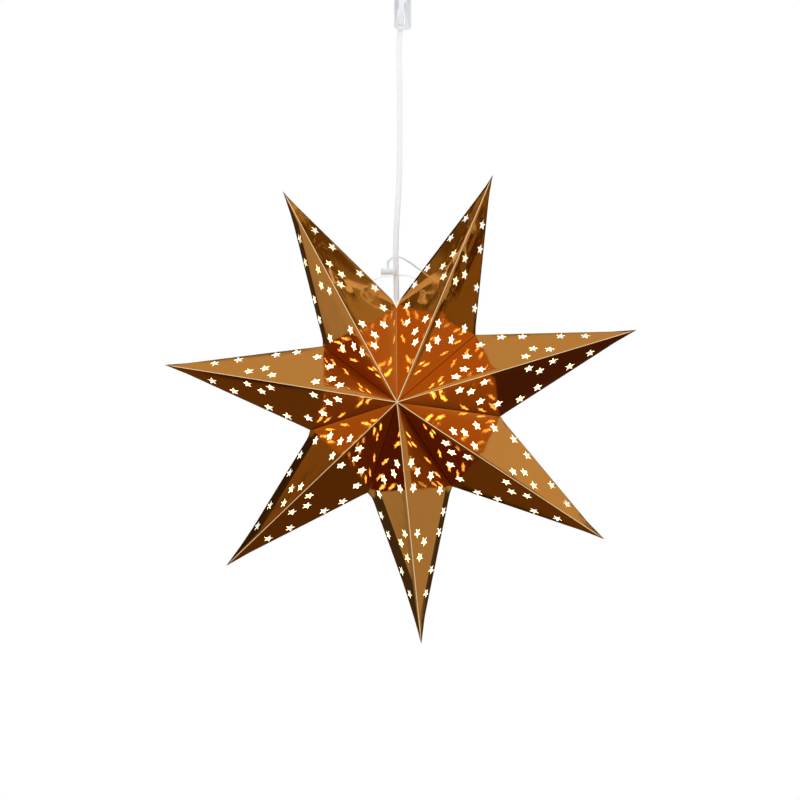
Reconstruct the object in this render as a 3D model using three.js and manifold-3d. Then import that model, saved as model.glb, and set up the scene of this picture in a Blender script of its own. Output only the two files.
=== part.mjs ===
// Paper snowflake star: a seven-armed folded star lantern that hangs on its own lamp cord.
// Millimetres, +Z up. The origin is the middle of the ceiling face. The star's front faces -Y.

import * as THREE from 'three';
import { mergeVertices } from 'three/addons/utils/BufferGeometryUtils.js';
import Module from 'manifold-3d';

const wasm = await Module();
wasm.setup();

// ---------------------------------------------------------------- star
const ARMS = 7;
const TIP_R = 263;              // centre to the tip of an arm
const NOTCH_R = 107.7;          // centre to the notch between two arms
const APEX_D = 102;             // centre to the front or the back apex
const CARD_T = 0.8;             // foil-faced card, with the glue flap behind it
const FOLD_GAP = 0.25;          // each panel stops this far short of a fold line
const STAR_X = 1.1;             // the star's centre, beside the plumb line of the hook
const STAR_Z = -517;
const HANG_TILT = 4.2;          // degrees that the star hangs out of true, anticlockwise from the front
const PORT = 6.5;               // corner cut off at the cord's notch, along each edge

const STAR_HOLE_R = 5.9;        // punched star, centre to point; one point is towards the ridge
const STAR_HOLE_IN = 2.75;      // and to its inner corner
// Twelve punched stars on each panel: distance from the apex along the ridge, distance off the ridge.
const PUNCHED = [
  [74.4, 12.4], [88.2, 20.8], [100.7, 41.6], [103.5, 11.7], [122.4, 54.6], [149, 57.3],
  [156.3, 11.2], [169.3, 47.0], [170.0, 20.6], [184.9, 11.1], [206.4, 28.1], [229.9, 15.9],
];

// ---------------------------------------------------------------- cord and hanger
const CORD_R = 3;
const CORD_X = -6.5;            // the cord's line where it enters the star
const PLATE_W = 18.5;
const PLATE_TOP = -40;
const PLATE_BOTTOM = -112;
const PLATE_T = 2;
const RIM_W = 1.8;              // raised sides of the hanger plate
const RIM_D = 5;
const SLOT_W = 8;
const EYE_R = 4.5;
const EYE_Z = -50.4;
const HOOK_R = 1.75;            // ceiling hook's wire
const HOOK_Z = -48;             // the wire's middle, where the eye hangs
// The cord's route from the terminal block, through the hanger plate's slots, to the lamp holder.
const CORD_ROUTE = [
  [13, 9, -18.5], [13, 9, -26], [12.5, 8.6, -34], [11.2, 8, -42], [8.6, 7.2, -50], [5, 6.2, -57],
  [1.6, 4.2, -64], [-0.4, 0.4, -72], [-0.8, -3.6, -79.5], [-0.8, -4.8, -85.5], [-1, -3.8, -91],
  [-1.6, 0.4, -98.5], [-2.3, 4, -105.5], [-2.9, 5, -112], [-3.6, 4.3, -121], [-4, 2.5, -135],
  [-3.7, 1, -154], [-3.2, 0.2, -178], [-3.2, 0, -212], [-3.3, 0, -250], [-4, 0, -282],
  [-5.6, 0, -310], [-7, 0, -336], [-7.3, 0, -362], [-6.8, 0, -392], [-6.5, 0, -420], [-6.5, 0, -440],
];

// ---------------------------------------------------------------- ceiling rose
const ROSE_R = 40;
const ROSE_H = 30;
const ROSE_OPENING = 19;

// ---------------------------------------------------------------- lamp
const HOLDER_TOP = -432;
const HOLDER_R = 14.2;
const SOCKET_TOP = -449;
const SOCKET_BOTTOM = -490;
const BULB_R = 22.5;
const BULB_Z = -520;

const part = new THREE.Group();
part.name = 'paper_snowflake_star';

const COLOURS = {
  foil_card: [0xb87a38, 0.2, 0.85],
  clear_plastic: [0xdfe6ea, 0.35, 0],
  cord_pvc: [0xf2f1ec, 0.4, 0],
  white_plastic: [0xf3f2ee, 0.35, 0],
  zinc_steel: [0xb9bcc0, 0.3, 0.9],
  brass: [0xc9a35a, 0.3, 0.9],
  ceramic: [0xece8dc, 0.5, 0],
  bulb_glass: [0xfff1d0, 0.25, 0],
  thread: [0xe9e4d8, 0.8, 0],
};

function material(kind) {
  const [color, roughness, metalness] = COLOURS[kind];
  return new THREE.MeshStandardMaterial({ name: kind, color, roughness, metalness });
}

function add(name, geometry, kind, group = part) {
  const mesh = new THREE.Mesh(geometry, material(kind));
  mesh.name = name;
  group.add(mesh);
  return mesh;
}

function toManifold(geometry) {
  const bare = geometry.clone();
  bare.deleteAttribute('normal');
  bare.deleteAttribute('uv');
  const merged = mergeVertices(bare, 1e-4);
  const triVerts = Uint32Array.from(merged.index.array);
  const vertProperties = Float32Array.from(merged.attributes.position.array);
  return new wasm.Manifold(new wasm.Mesh({ numProp: 3, vertProperties, triVerts }));
}

function toGeometry(manifold) {
  const mesh = manifold.getMesh();
  const geometry = new THREE.BufferGeometry();
  geometry.setAttribute('position', new THREE.BufferAttribute(mesh.vertProperties, 3));
  geometry.setIndex(new THREE.BufferAttribute(mesh.triVerts, 1));
  return geometry;
}

function tube(points, radius, sides, steps) {
  const section = new THREE.Shape();
  for (let i = 0; i < sides; i += 1) {
    const a = (2 * Math.PI * i) / sides;
    const move = i === 0 ? 'moveTo' : 'lineTo';
    section[move](radius * Math.cos(a), radius * Math.sin(a));
  }
  const path = new THREE.CatmullRomCurve3(points.map((p) => new THREE.Vector3(...p)), false, 'centripetal');
  return new THREE.ExtrudeGeometry(section, { steps, bevelEnabled: false, extrudePath: path });
}

// A turned piece about a vertical axis. The profile is [radius, z], down the outside and up the inside.
function turned(profile, segments, x = 0, y = 0) {
  const points = profile.map(([r, z]) => new THREE.Vector2(r, z)).reverse();
  const geometry = new THREE.LatheGeometry(points, segments);
  geometry.rotateX(Math.PI / 2);
  geometry.translate(x, y, 0);
  return geometry;
}

// ---------------------------------------------------------------- folded panels
// Corner of a polygon whose sides are moved in: where two lines n.p = c meet.
function meet(a, b) {
  const det = a.n.x * b.n.y - a.n.y * b.n.x;
  return new THREE.Vector2((a.c * b.n.y - b.c * a.n.y) / det, (a.n.x * b.c - b.n.x * a.c) / det);
}

// The side from p to q of an anticlockwise outline, moved in by a distance.
function side(p, q, inset) {
  const n = new THREE.Vector2(-(q.y - p.y), q.x - p.x).normalize();
  return { n, c: n.dot(p) + inset };
}

function punchedStar(u, v) {
  const points = [];
  for (let i = 0; i < 10; i += 1) {
    const a = (Math.PI * i) / 5 - Math.PI / 2;
    const r = i % 2 === 0 ? STAR_HOLE_R : STAR_HOLE_IN;
    points.push(new THREE.Vector2(u + r * Math.cos(a), v + r * Math.sin(a)));
  }
  return points;
}

function pushTriangle(out, a, b, c, flip) {
  const order = flip ? [a, c, b] : [a, b, c];
  for (const p of order) {
    out.push(p.x, p.y, p.z);
  }
}

function interiorAngle(normalA, normalB) {
  return Math.PI - normalA.angleTo(normalB);
}

// One flat panel between the apex A, the tip T and the notch N. Its two convex folds are mitred.
function panelGeometry(A, T, N, centre, mitres, port) {
  const U = T.clone().sub(A).normalize();
  const AN = N.clone().sub(A);
  const V = AN.clone().addScaledVector(U, -AN.dot(U)).normalize();
  const O = U.clone().cross(V);
  const flip = O.dot(A.clone().add(T).add(N).divideScalar(3).sub(centre)) < 0;
  if (flip) {
    O.negate();
  }
  const a = new THREE.Vector2(0, 0);
  const t = new THREE.Vector2(A.distanceTo(T), 0);
  const n = new THREE.Vector2(AN.dot(U), AN.dot(V));
  const nearT = n.clone().add(t.clone().sub(n).setLength(PORT));
  const nearA = n.clone().add(a.clone().sub(n).setLength(PORT));

  const outline = (ridge, rim) => {
    const sides = [side(a, t, FOLD_GAP + ridge), side(t, n, FOLD_GAP + rim)];
    if (port) {
      sides.push(side(nearT, nearA, 0));
    }
    sides.push(side(n, a, FOLD_GAP));
    return sides.map((s, i) => meet(s, sides[(i + 1) % sides.length]));
  };
  const outer = outline(0, 0);
  const inner = outline(mitres.ridge, mitres.rim);
  const holes = PUNCHED.map(([u, v]) => punchedStar(u, v));

  const place = (p, w) => A.clone().addScaledVector(U, p.x).addScaledVector(V, p.y).addScaledVector(O, w);
  const out = [];
  const cap = (contour, w, turnOver) => {
    const all = [...contour, ...holes.flat()];
    for (const [i, j, k] of THREE.ShapeUtils.triangulateShape(contour, holes)) {
      pushTriangle(out, place(all[i], w), place(all[j], w), place(all[k], w), turnOver);
    }
  };
  const wall = (top, bottom, turnOver) => {
    for (let i = 0; i < top.length; i += 1) {
      const j = (i + 1) % top.length;
      pushTriangle(out, place(top[i], 0), place(bottom[i], -CARD_T), place(bottom[j], -CARD_T), turnOver);
      pushTriangle(out, place(top[i], 0), place(bottom[j], -CARD_T), place(top[j], 0), turnOver);
    }
  };
  cap(outer, 0, flip);
  cap(inner, -CARD_T, !flip);
  wall(outer, inner, flip);
  for (const hole of holes) {
    wall(hole, hole, !flip);
  }
  const geometry = new THREE.BufferGeometry();
  geometry.setAttribute('position', new THREE.Float32BufferAttribute(out, 3));
  geometry.computeVertexNormals();
  return geometry;
}

// Arm 1 is the one to the right of the cord. The others follow clockwise, seen from the front.
const pitch = (2 * Math.PI) / ARMS;
const seam = THREE.MathUtils.degToRad(90 + HANG_TILT);
const centre = new THREE.Vector3(STAR_X, 0, STAR_Z);
const around = (radius, angle) => new THREE.Vector3(
  STAR_X + radius * Math.cos(angle), 0, STAR_Z + radius * Math.sin(angle),
);

function outwardNormal(A, T, N) {
  const normal = T.clone().sub(A).cross(N.clone().sub(A)).normalize();
  return normal.dot(A.clone().sub(centre)) < 0 ? normal.negate() : normal;
}

for (let arm = 1; arm <= ARMS; arm += 1) {
  const ridge = seam - (arm - 0.5) * pitch;
  const tip = around(TIP_R, ridge);
  for (const [face, y] of [['front', -APEX_D], ['back', APEX_D]]) {
    const apex = new THREE.Vector3(STAR_X, y, STAR_Z);
    const otherApex = new THREE.Vector3(STAR_X, -y, STAR_Z);
    for (const [hand, turn] of [['left', 1], ['right', -1]]) {
      const notch = around(NOTCH_R, ridge + (turn * pitch) / 2);
      const twin = around(NOTCH_R, ridge - (turn * pitch) / 2);
      const own = outwardNormal(apex, tip, notch);
      const ridgeAngle = interiorAngle(own, outwardNormal(apex, tip, twin));
      const rimAngle = interiorAngle(own, outwardNormal(otherApex, tip, notch));
      const mitres = {
        ridge: CARD_T / Math.tan(ridgeAngle / 2),
        rim: CARD_T / Math.tan(rimAngle / 2),
      };
      const port = (arm === 1 && hand === 'left') || (arm === ARMS && hand === 'right');
      const geometry = panelGeometry(apex, tip, notch, centre, mitres, port);
      add(`arm_${arm}_${face}_${hand}`, geometry, 'foil_card');
    }
  }
}

// ---------------------------------------------------------------- closing strap
// A moulded strap ties the first arm to the cord: a barrel beside the cord and a band over it.
const STRAP_BAND = [
  [-15.6, -5.2, -370], [-15.2, -7, -365], [-11.5, -8.2, -361.4], [-6.6, -8.4, -359.6],
  [-1, -8, -360.6], [5.4, -6.6, -363.8], [11.6, -4.6, -368], [16.2, -2.4, -371.6],
];
add('closing_strap', tube(STRAP_BAND, 1.3, 8, 21), 'white_plastic');
const barrel = new THREE.CylinderGeometry(4, 4, 16, 24);
barrel.rotateZ(Math.PI / 2);
barrel.translate(-14.9, -7.6, -375.8);
add('strap_barrel', barrel, 'white_plastic');
const TIE_THREAD = [
  [-27.5, 4.6, -383], [-20, 5, -380.6], [-10, 5.2, -379.8], [0, 5, -379.6], [7, 4.4, -380.6],
  [11.5, 3.6, -382.6],
];
add('tie_thread', tube(TIE_THREAD, 0.4, 8, 20), 'thread');

// ---------------------------------------------------------------- hanger plate
function roundedSlot(x, z, width, height) {
  const r = width / 2;
  const path = new THREE.Path();
  path.absarc(x, z + height / 2 - r, r, 0, Math.PI, false);
  path.absarc(x, z - height / 2 + r, r, Math.PI, 2 * Math.PI, false);
  path.closePath();
  return path;
}

const plateShape = new THREE.Shape();
const corner = 4;
const half = PLATE_W / 2;
plateShape.moveTo(-half + corner, PLATE_BOTTOM);
plateShape.lineTo(half - corner, PLATE_BOTTOM);
plateShape.absarc(half - corner, PLATE_BOTTOM + corner, corner, -Math.PI / 2, 0, false);
plateShape.absarc(0, PLATE_TOP - half, half, 0, Math.PI, false);
plateShape.absarc(-half + corner, PLATE_BOTTOM + corner, corner, Math.PI, 1.5 * Math.PI, false);
const eye = new THREE.Path();
eye.absarc(0, EYE_Z, EYE_R, 0, 2 * Math.PI, false);
plateShape.holes.push(eye);
plateShape.holes.push(roundedSlot(-0.2, -72.4, SLOT_W + 0.4, 22));
plateShape.holes.push(roundedSlot(-1.5, -98.2, SLOT_W, 19.8));
const plateWeb = new THREE.ExtrudeGeometry(plateShape, { depth: PLATE_T, bevelEnabled: false, curveSegments: 10 });
plateWeb.rotateX(Math.PI / 2);
plateWeb.translate(0, PLATE_T / 2, 0);
let plate = toManifold(plateWeb);
for (const x of [-half + RIM_W / 2, half - RIM_W / 2]) {
  const rim = new THREE.BoxGeometry(RIM_W, RIM_D, 58);
  rim.translate(x, 0, PLATE_BOTTOM + corner + 29);
  plate = plate.add(toManifold(rim));
}
add('hanger_plate', toGeometry(plate), 'clear_plastic');

add('lamp_cord', tube(CORD_ROUTE, CORD_R, 10, 64), 'cord_pvc');

// ---------------------------------------------------------------- ceiling rose and hook
const roseShape = new THREE.Shape();
roseShape.absarc(0, 0, ROSE_R - 4, 0, 2 * Math.PI, false);
for (const x of [-26, 26]) {
  const screwHole = new THREE.Path();
  screwHole.absarc(x, 0, 2.4, 0, 2 * Math.PI, false);
  roseShape.holes.push(screwHole);
}
const rosePlate = new THREE.ExtrudeGeometry(roseShape, { depth: 4, bevelEnabled: false, curveSegments: 24 });
rosePlate.translate(0, 0, -4);
add('rose_plate', rosePlate, 'white_plastic');

const coverProfile = [
  [ROSE_R, -0.5], [ROSE_R, -14], [ROSE_R - 3, -22], [ROSE_R - 9, -27.5], [ROSE_R - 15, -ROSE_H],
  [ROSE_OPENING, -ROSE_H - 0.6], [ROSE_OPENING, -ROSE_H + 1.6], [ROSE_R - 15.5, -ROSE_H + 2.2],
  [ROSE_R - 10, -25.5], [ROSE_R - 4.6, -20.8], [ROSE_R - 2, -13.5], [ROSE_R - 2, -0.5], [ROSE_R, -0.5],
];
add('rose_cover', turned(coverProfile, 40), 'white_plastic');

const HOOK_LINE = [
  [0, 8, -4.3], [0, 8, -14], [0, 8, -26], [0, 8, -36], [0, 7.6, -41], [0, 5.6, -45.6], [0, 2.9, -47.6],
  [0, 0, HOOK_Z], [0, -3, -47.5], [0, -5.6, -45.4], [0, -7.6, -41.6], [0, -8.6, -37], [0, -10.4, -33.4],
];
add('ceiling_hook', tube(HOOK_LINE, HOOK_R, 10, 40), 'zinc_steel');
const hookNut = new THREE.CylinderGeometry(4.6, 4.6, 3.2, 6);
hookNut.rotateX(Math.PI / 2);
hookNut.translate(0, 8, -9.4);
const nutBore = new THREE.CylinderGeometry(HOOK_R + 0.3, HOOK_R + 0.3, 5, 20);
nutBore.rotateX(Math.PI / 2);
nutBore.translate(0, 8, -9.4);
add('hook_nut', toGeometry(toManifold(hookNut).subtract(toManifold(nutBore))), 'zinc_steel');

const terminal = new THREE.BoxGeometry(20, 12, 13.4);
terminal.translate(15.2, 10.2, -11);
add('terminal_block', terminal, 'ceramic');
for (const [index, x] of [[1, 10.2], [2, 20.2]]) {
  const screw = new THREE.CylinderGeometry(2, 2, 1.6, 16);
  screw.translate(x, 3.1, -11);
  add(`terminal_screw_${index}`, screw, 'brass');
}

// ---------------------------------------------------------------- lamp holder and bulb
const capProfile = [
  [3.4, HOLDER_TOP], [4.6, HOLDER_TOP], [5.6, HOLDER_TOP - 5], [9, HOLDER_TOP - 9], [13, HOLDER_TOP - 12.5],
  [HOLDER_R, SOCKET_TOP + 0.3], [3.4, SOCKET_TOP + 0.3], [3.4, HOLDER_TOP],
];
add('holder_cap', turned(capProfile, 32, CORD_X), 'white_plastic');
const shellProfile = [
  [HOLDER_R - 1.6, SOCKET_TOP], [HOLDER_R, SOCKET_TOP], [HOLDER_R, SOCKET_BOTTOM],
  [HOLDER_R - 1.6, SOCKET_BOTTOM], [HOLDER_R - 1.6, SOCKET_TOP],
];
add('holder_shell', turned(shellProfile, 32, CORD_X), 'white_plastic');
const ringProfile = [
  [HOLDER_R + 0.3, -463], [HOLDER_R + 5, -463], [HOLDER_R + 5, -466], [HOLDER_R + 2, -466],
  [HOLDER_R + 2, -473], [HOLDER_R + 0.3, -473], [HOLDER_R + 0.3, -463],
];
add('holder_ring', turned(ringProfile, 32, CORD_X), 'white_plastic');
const insertProfile = [
  [0, SOCKET_TOP - 0.3], [HOLDER_R - 2, SOCKET_TOP - 0.3], [HOLDER_R - 2, -458], [0, -458],
];
add('holder_insert', turned(insertProfile, 24, CORD_X), 'ceramic');
const contactProfile = [[0, -458.3], [2.2, -458.3], [2.2, -460.2], [0, -460.2]];
add('centre_contact', turned(contactProfile, 16, CORD_X), 'brass');
const sleeveProfile = [[7.4, -458.4], [8, -458.4], [8, -482], [7.4, -482], [7.4, -458.4]];
add('screw_sleeve', turned(sleeveProfile, 24, CORD_X), 'brass');
const capBulb = [[0, -460.6], [2.4, -460.6], [3.6, -462.6], [7, -464], [7, -483.6], [0, -483.6]];
add('bulb_cap', turned(capBulb, 24, CORD_X), 'brass');

// The bulb's envelope is a thin shell, open at its neck, where the screw cap closes it.
function globe(radius, neck) {
  const wall = [[neck, -484], [neck + 0.6, -491], [neck + 2.6, -497]];
  for (let i = 0; i <= 12; i += 1) {
    const a = THREE.MathUtils.degToRad(58 - (148 * i) / 12);
    wall.push([i === 12 ? 0 : radius * Math.cos(a), BULB_Z + radius * Math.sin(a)]);
  }
  return wall;
}

const envelope = [...globe(BULB_R, 7), ...globe(BULB_R - 1.2, 5.8).reverse(), [7, -484]];
add('bulb_glass', turned(envelope, 28, CORD_X), 'bulb_glass');

export default part;
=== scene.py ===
import math

import bmesh
import bpy
import numpy as np
from mathutils import Matrix, Vector
from mathutils.geometry import delaunay_2d_cdt


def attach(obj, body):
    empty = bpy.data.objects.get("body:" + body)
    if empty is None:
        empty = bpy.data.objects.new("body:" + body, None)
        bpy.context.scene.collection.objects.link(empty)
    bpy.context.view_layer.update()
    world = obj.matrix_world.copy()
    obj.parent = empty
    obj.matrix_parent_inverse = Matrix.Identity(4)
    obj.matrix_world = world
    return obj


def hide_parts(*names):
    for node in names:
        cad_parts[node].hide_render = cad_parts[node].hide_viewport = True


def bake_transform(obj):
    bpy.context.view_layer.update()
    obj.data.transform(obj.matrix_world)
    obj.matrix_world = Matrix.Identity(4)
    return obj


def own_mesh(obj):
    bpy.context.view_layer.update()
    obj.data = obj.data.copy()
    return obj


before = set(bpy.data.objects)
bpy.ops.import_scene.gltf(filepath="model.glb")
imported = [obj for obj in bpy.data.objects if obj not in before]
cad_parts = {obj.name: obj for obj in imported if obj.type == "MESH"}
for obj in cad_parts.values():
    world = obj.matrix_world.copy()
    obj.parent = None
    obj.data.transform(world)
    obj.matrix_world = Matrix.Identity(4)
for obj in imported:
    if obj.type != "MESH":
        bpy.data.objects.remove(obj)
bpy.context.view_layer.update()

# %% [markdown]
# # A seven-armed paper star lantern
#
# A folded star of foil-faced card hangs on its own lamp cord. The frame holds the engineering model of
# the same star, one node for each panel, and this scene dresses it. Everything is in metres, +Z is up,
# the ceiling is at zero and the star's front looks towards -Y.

MM = 0.001


def linear(code):
    """Scene-linear colour of an sRGB hex code."""
    parts = [int(code[i:i + 2], 16) / 255 for i in (1, 3, 5)]
    return tuple(c / 12.92 if c <= 0.04045 else ((c + 0.055) / 1.055) ** 2.4 for c in parts) + (1.0,)


def node(tree, kind, inputs=None, **settings):
    """Add a shader node, set its properties, and set or link its inputs."""
    made = tree.nodes.new(kind)
    for key, value in settings.items():
        setattr(made, key, value)
    for key, value in (inputs or {}).items():
        if isinstance(value, bpy.types.NodeSocket):
            tree.links.new(value, made.inputs[key])
        else:
            made.inputs[key].default_value = value
    return made


def blank(name):
    """A new material with an empty tree and its output."""
    material = bpy.data.materials.new(name)
    material.use_nodes = True
    material.node_tree.nodes.clear()
    return material, material.node_tree, material.node_tree.nodes.new("ShaderNodeOutputMaterial")


# %% [markdown]
# ## Camera
#
# The star is seen almost square on from far away, so its perspective is weak. The eye stands four
# degrees towards +X, which brings the front apex a little to the left of the star's middle.

# %% camera
STAR = Vector((1.1, 0, -517)) * MM
EYE_TURN = math.radians(4.0)
EYE_RISE = math.radians(0.4)
EYE_FAR = 4.0
# width of the view at the star, and the width of the film in mm
FIELD = 0.872
FILM = 36

aim = Vector((-2.8, 0, -515.4)) * MM
back = Vector((math.sin(EYE_TURN) * math.cos(EYE_RISE), -math.cos(EYE_TURN) * math.cos(EYE_RISE),
               math.sin(EYE_RISE)))
camera_data = bpy.data.cameras.new("eye")
camera_data.lens = FILM * EYE_FAR / FIELD
camera_data.clip_end = 50
camera = bpy.data.objects.new("eye", camera_data)
bpy.context.scene.collection.objects.link(camera)
camera.location = aim + back * EYE_FAR
camera.rotation_euler = (-back).to_track_quat("-Z", "Y").to_euler()
bpy.context.scene.camera = camera
print("lens", round(camera_data.lens, 1), "mm, eye at", [round(c, 3) for c in camera.location])

# %% [markdown]
# ## Shapes
#
# Four ways of making a solid cover everything that isn't folded card: a tube swept along a smooth line,
# a turned profile, a flat outline cut with holes and given a thickness, and a plain block.


# %% smooth line through given points
def smooth_line(points, step):
    """Points about a step apart on the Catmull-Rom curve through the given ones."""
    p = [np.array(q, float) for q in points]
    p = [2 * p[0] - p[1]] + p + [2 * p[-1] - p[-2]]
    line = []
    for a, b, c, d in zip(p, p[1:], p[2:], p[3:]):
        count = max(1, round(float(np.linalg.norm(c - b)) / step))
        for t in np.arange(count) / count:
            line.append(0.5 * (2 * b + (c - a) * t + (2 * a - 5 * b + 4 * c - d) * t ** 2
                               + (3 * b - a - 3 * c + d) * t ** 3))
    return np.array(line + [p[-2]])


# %% making a piece
SMOOTH_TO = math.radians(40)
EASE_FROM = math.radians(32)


def piece(name, vertices, faces, material, body, slot, nodes, smooth=True):
    """A mesh object in the row frame that rides a body and stands for engineering nodes."""
    mesh = bpy.data.meshes.new(name)
    mesh.from_pydata([tuple(float(c) for c in v) for v in vertices], [], faces)
    made = bpy.data.objects.new(name, mesh)
    bpy.context.scene.collection.objects.link(made)
    return finish_piece(made, material, body, nodes, smooth)


def finish_piece(made, material, body, nodes, smooth=True):
    """Materials, shading and the frame's book-keeping for a finished mesh object."""
    for m in material if isinstance(material, list) else [material]:
        made.data.materials.append(m)
    if smooth:
        made.data.shade_smooth()
        made.data.set_sharp_from_angle(angle=SMOOTH_TO)
    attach(made, body)
    if nodes:
        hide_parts(*nodes)
    return made


def cut_sheet(name, outline, holes, thickness, edge, material, body, nodes, turn=None):
    """A flat sheet with holes and rounded edges. The outline lies in X-Y, or in X-Z when turned."""
    curve = bpy.data.curves.new(name, "CURVE")
    curve.dimensions = "2D"
    curve.fill_mode = "BOTH"
    curve.extrude = thickness / 2 - edge
    curve.bevel_depth = edge
    curve.bevel_resolution = 2
    curve.offset = -edge
    for loop in [outline] + holes:
        spline = curve.splines.new("POLY")
        spline.points.add(len(loop) - 1)
        for point, (x, y) in zip(spline.points, loop):
            point.co = (x, y, 0, 1)
        spline.use_cyclic_u = True
    drawn = bpy.data.objects.new(name, curve)
    bpy.context.scene.collection.objects.link(drawn)
    bpy.context.view_layer.update()
    mesh = bpy.data.meshes.new_from_object(drawn.evaluated_get(bpy.context.evaluated_depsgraph_get()))
    bpy.data.objects.remove(drawn)
    if turn:
        mesh.transform(turn)
    work = bmesh.new()
    work.from_mesh(mesh)
    bmesh.ops.remove_doubles(work, verts=work.verts, dist=1e-6)
    bmesh.ops.recalc_face_normals(work, faces=work.faces)
    work.to_mesh(mesh)
    work.free()
    made = bpy.data.objects.new(name, mesh)
    bpy.context.scene.collection.objects.link(made)
    return finish_piece(made, material, body, nodes)


def eased(made, edge):
    """Rounds a finished piece's sharp edges."""
    soft = made.modifiers.new("eased edges", "BEVEL")
    soft.width = edge
    soft.segments = 3
    soft.limit_method = "ANGLE"
    soft.angle_limit = EASE_FROM
    soft.harden_normals = True
    return made


def arc(x, y, radius, first, last, count):
    """Points on an arc, with its angles in degrees."""
    turns = np.radians(np.linspace(first, last, count))
    return [(x + radius * math.cos(a), y + radius * math.sin(a)) for a in turns]


def block(low, high):
    """Corners and faces of a box."""
    corners = [(x, y, z) for x in (low[0], high[0]) for y in (low[1], high[1]) for z in (low[2], high[2])]
    return corners, [[0, 1, 3, 2], [4, 6, 7, 5], [0, 4, 5, 1], [2, 3, 7, 6], [0, 2, 6, 4], [1, 5, 7, 3]]


# %% swept tube
# a direction that no tube starts along
ASKEW = [0.31, 0.87, 0.38]


def tube(points, radius, sides):
    """Rings of a tube round a line. The radius is one number, or one for each point."""
    points = np.asarray(points, float)
    radii = np.broadcast_to(np.asarray(radius, float), len(points))
    tangents = np.gradient(points, axis=0)
    tangents /= np.linalg.norm(tangents, axis=1)[:, None]
    side = np.cross(tangents[0], ASKEW)
    rings = []
    for p, t, r in zip(points, tangents, radii):
        side = side - t * (side @ t)
        side /= np.linalg.norm(side)
        other = np.cross(t, side)
        turn = 2 * math.pi * np.arange(sides) / sides
        rings.append(p + r * (np.cos(turn)[:, None] * side + np.sin(turn)[:, None] * other))
    faces = []
    for k in range(len(points) - 1):
        for i in range(sides):
            j = (i + 1) % sides
            faces.append([k * sides + i, k * sides + j, (k + 1) * sides + j, (k + 1) * sides + i])
    faces.append(list(range(sides))[::-1])
    faces.append([(len(points) - 1) * sides + i for i in range(sides)])
    return np.concatenate(rings), faces


# %% turned body
def turned(profile, around=(0.0, 0.0), segments=64):
    """A body of revolution from a closed outline of (radius, height) points."""
    vertices = []
    for r, z in profile:
        for i in range(segments):
            a = 2 * math.pi * i / segments
            vertices.append((around[0] + r * math.cos(a), around[1] + r * math.sin(a), z))
    faces = []
    for k in range(len(profile)):
        for i in range(segments):
            m = (k + 1) % len(profile)
            j = (i + 1) % segments
            faces.append([k * segments + i, k * segments + j, m * segments + j, m * segments + i])
    mesh = bmesh.new()
    made = [mesh.verts.new(v) for v in vertices]
    for f in faces:
        mesh.faces.new([made[i] for i in f])
    bmesh.ops.remove_doubles(mesh, verts=mesh.verts, dist=1e-6)
    bmesh.ops.recalc_face_normals(mesh, faces=mesh.faces)
    mesh.verts.index_update()
    out = [tuple(v.co) for v in mesh.verts], [[v.index for v in f.verts] for f in mesh.faces]
    mesh.free()
    return out


# %% [markdown]
# ## The lamp cord
#
# Round white lamp cord, 6 mm across, with a soft-gloss PVC jacket. It hangs straight from the hanger
# plate to the star, because the star's weight pulls it taut. Above, it is threaded out and in through
# the plate's two slots, which grip it, and runs past the hook into the terminal block of the ceiling
# fitting. It bends where it enters the rose.

# %% cord route and jacket
CORD_R = 3 * MM
CORD_ROUTE = np.array([
    [13, 9, -18.5], [13, 9, -26], [12.5, 8.6, -34], [11.2, 8, -42], [8.6, 7.2, -50], [5, 6.2, -57],
    [1.6, 4.2, -64], [-0.4, 0.4, -72], [-0.8, -3.6, -79.5], [-0.8, -4.8, -85.5], [-1, -3.8, -91],
    [-1.6, 0.4, -98.5], [-2.3, 4, -105.5], [-2.9, 5, -112], [-3.6, 4.3, -121], [-4, 2.5, -135],
    [-3.7, 1, -154], [-3.2, 0.2, -178], [-3.2, 0, -212], [-3.3, 0, -250], [-4, 0, -282],
    [-5.6, 0, -310], [-7, 0, -336], [-7.3, 0, -362], [-6.8, 0, -392], [-6.5, 0, -420], [-6.5, 0, -440],
]) * MM

pvc, tree, out = blank("soft gloss white PVC, extruded")
place = node(tree, "ShaderNodeNewGeometry").outputs["Position"]
skin = node(tree, "ShaderNodeTexNoise", {"Vector": place, "Scale": 90.0, "Detail": 3.0})
tint = node(tree, "ShaderNodeMix", {"Factor": skin.outputs["Fac"], "A": linear("#F7F8FB"),
                                    "B": linear("#E9EBF1")}, data_type="RGBA")
gloss = node(tree, "ShaderNodeMapRange", {"Value": skin.outputs["Fac"], "To Min": 0.3, "To Max": 0.44})
grain = node(tree, "ShaderNodeTexNoise", {"Vector": place, "Scale": 2600.0, "Detail": 2.0})
bump = node(tree, "ShaderNodeBump", {"Height": grain.outputs["Fac"], "Strength": 0.08, "Distance": 0.0002})
shader = node(tree, "ShaderNodeBsdfPrincipled", {
    "Base Color": tint.outputs["Result"], "Roughness": gloss.outputs["Result"],
    "Normal": bump.outputs["Normal"], "Coat Weight": 0.15, "Coat Roughness": 0.2})
tree.links.new(shader.outputs[0], out.inputs["Surface"])

cord_line = smooth_line(CORD_ROUTE, 3 * MM)
cord = piece("lamp_cord_jacket", *tube(cord_line, CORD_R, 20), pvc, "hanger", "cord_pvc", ["lamp_cord"])
cord.parent = None
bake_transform(cord)

# %% [markdown]
# ## Mirror foil on white card
#
# The card is faced with metallised film, a thin aluminium mirror under copper-gold lacquer. The lacquer
# colours every reflection, and a reflection of a reflection is coloured twice, which turns the valleys
# a deep orange. The film isn't optically flat: the card under it pulls it into long shallow waves, and
# paper fibres print through as a fine grain. The inside and the cut edges are bare white board. The waves
# are about 60 mm long, the crinkles where hands held the card about 25 mm, and the fibres about 1 mm.

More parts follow.
